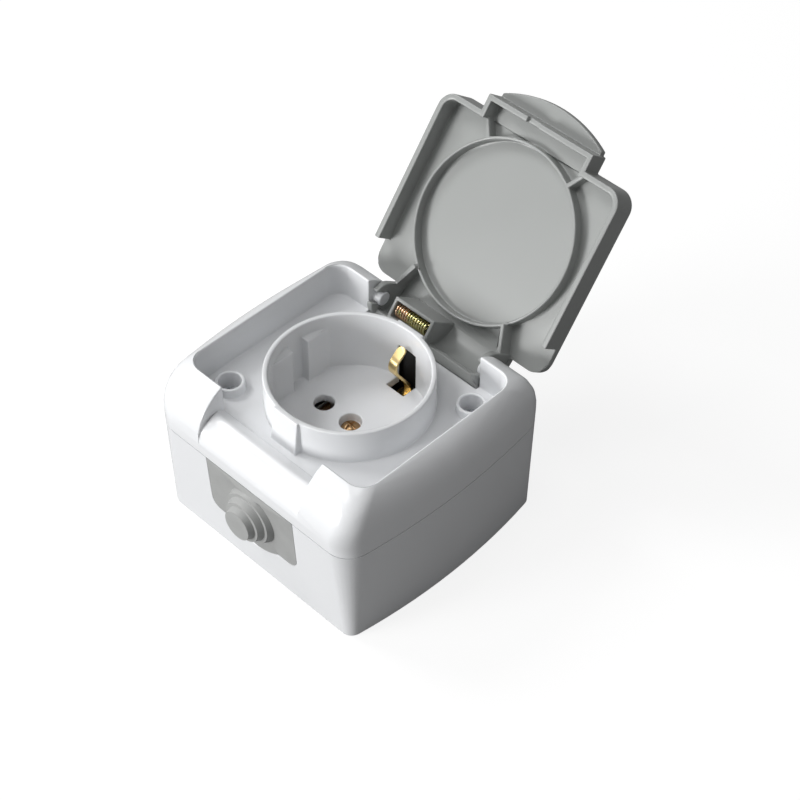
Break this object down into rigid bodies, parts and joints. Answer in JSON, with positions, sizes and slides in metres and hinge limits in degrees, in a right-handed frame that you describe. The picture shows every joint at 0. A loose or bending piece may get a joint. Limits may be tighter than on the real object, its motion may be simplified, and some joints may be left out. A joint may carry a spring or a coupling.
{
  "type": "outdoor weatherproof socket",
  "caption": "Surface-mounted earthed wall socket in a rounded two-part housing with a sprung hinged lid and a stepped rubber cable entry.",
  "frame": {"origin": "centre of the plug well on the wall plane, the flat back of the rear box", "axes": "+Z out of the wall through the plug well, +Y towards the lid hinge, -Y towards the cable entry, X along the line of the two pin holes"},
  "size_m": [0.073, 0.1131, 0.0866],
  "materials": {
    "housing_white": "gloss moulded",
    "lid_grey": "satin moulded",
    "seal_rubber": "matt",
    "entry_rubber": "matt",
    "insert_white": "matt moulded",
    "bronze": "drawn strip",
    "brass": "bright",
    "zinc_steel": "zinc plated",
    "yellow_zinc": "yellow chromated"
  },
  "bodies": {
    "housing": {"rear_box": "housing_white", "housing_seal": "seal_rubber", "cable_gland": "entry_rubber", "cover": "housing_white", "cover_screw_left": "zinc_steel", "cover_screw_right": "zinc_steel", "lid_spring": "yellow_zinc", "insert_base": "insert_white", "live_contact": "bronze", "neutral_contact": "bronze", "live_terminal": "brass", "neutral_terminal": "brass", "earth_terminal": "brass", "live_screw": "zinc_steel", "neutral_screw": "zinc_steel", "earth_screw": "zinc_steel", "earth_strap": "brass", "middle_screw": "yellow_zinc", "middle_nut": "brass", "insert_screw_left": "zinc_steel", "insert_screw_right": "zinc_steel"},
    "lid": {"lid": "lid_grey"}
  },
  "joints": [
    {"name": "lid_hinge", "type": "hinge", "parent": "housing", "child": "lid", "pos_m": [0, 0.02905, 0.0395], "axis": [1, 0, 0], "range_deg": [0, 127.2], "stiffness_Nm_per_rad": 0.0005, "springref_deg": 127.2}
  ]
}
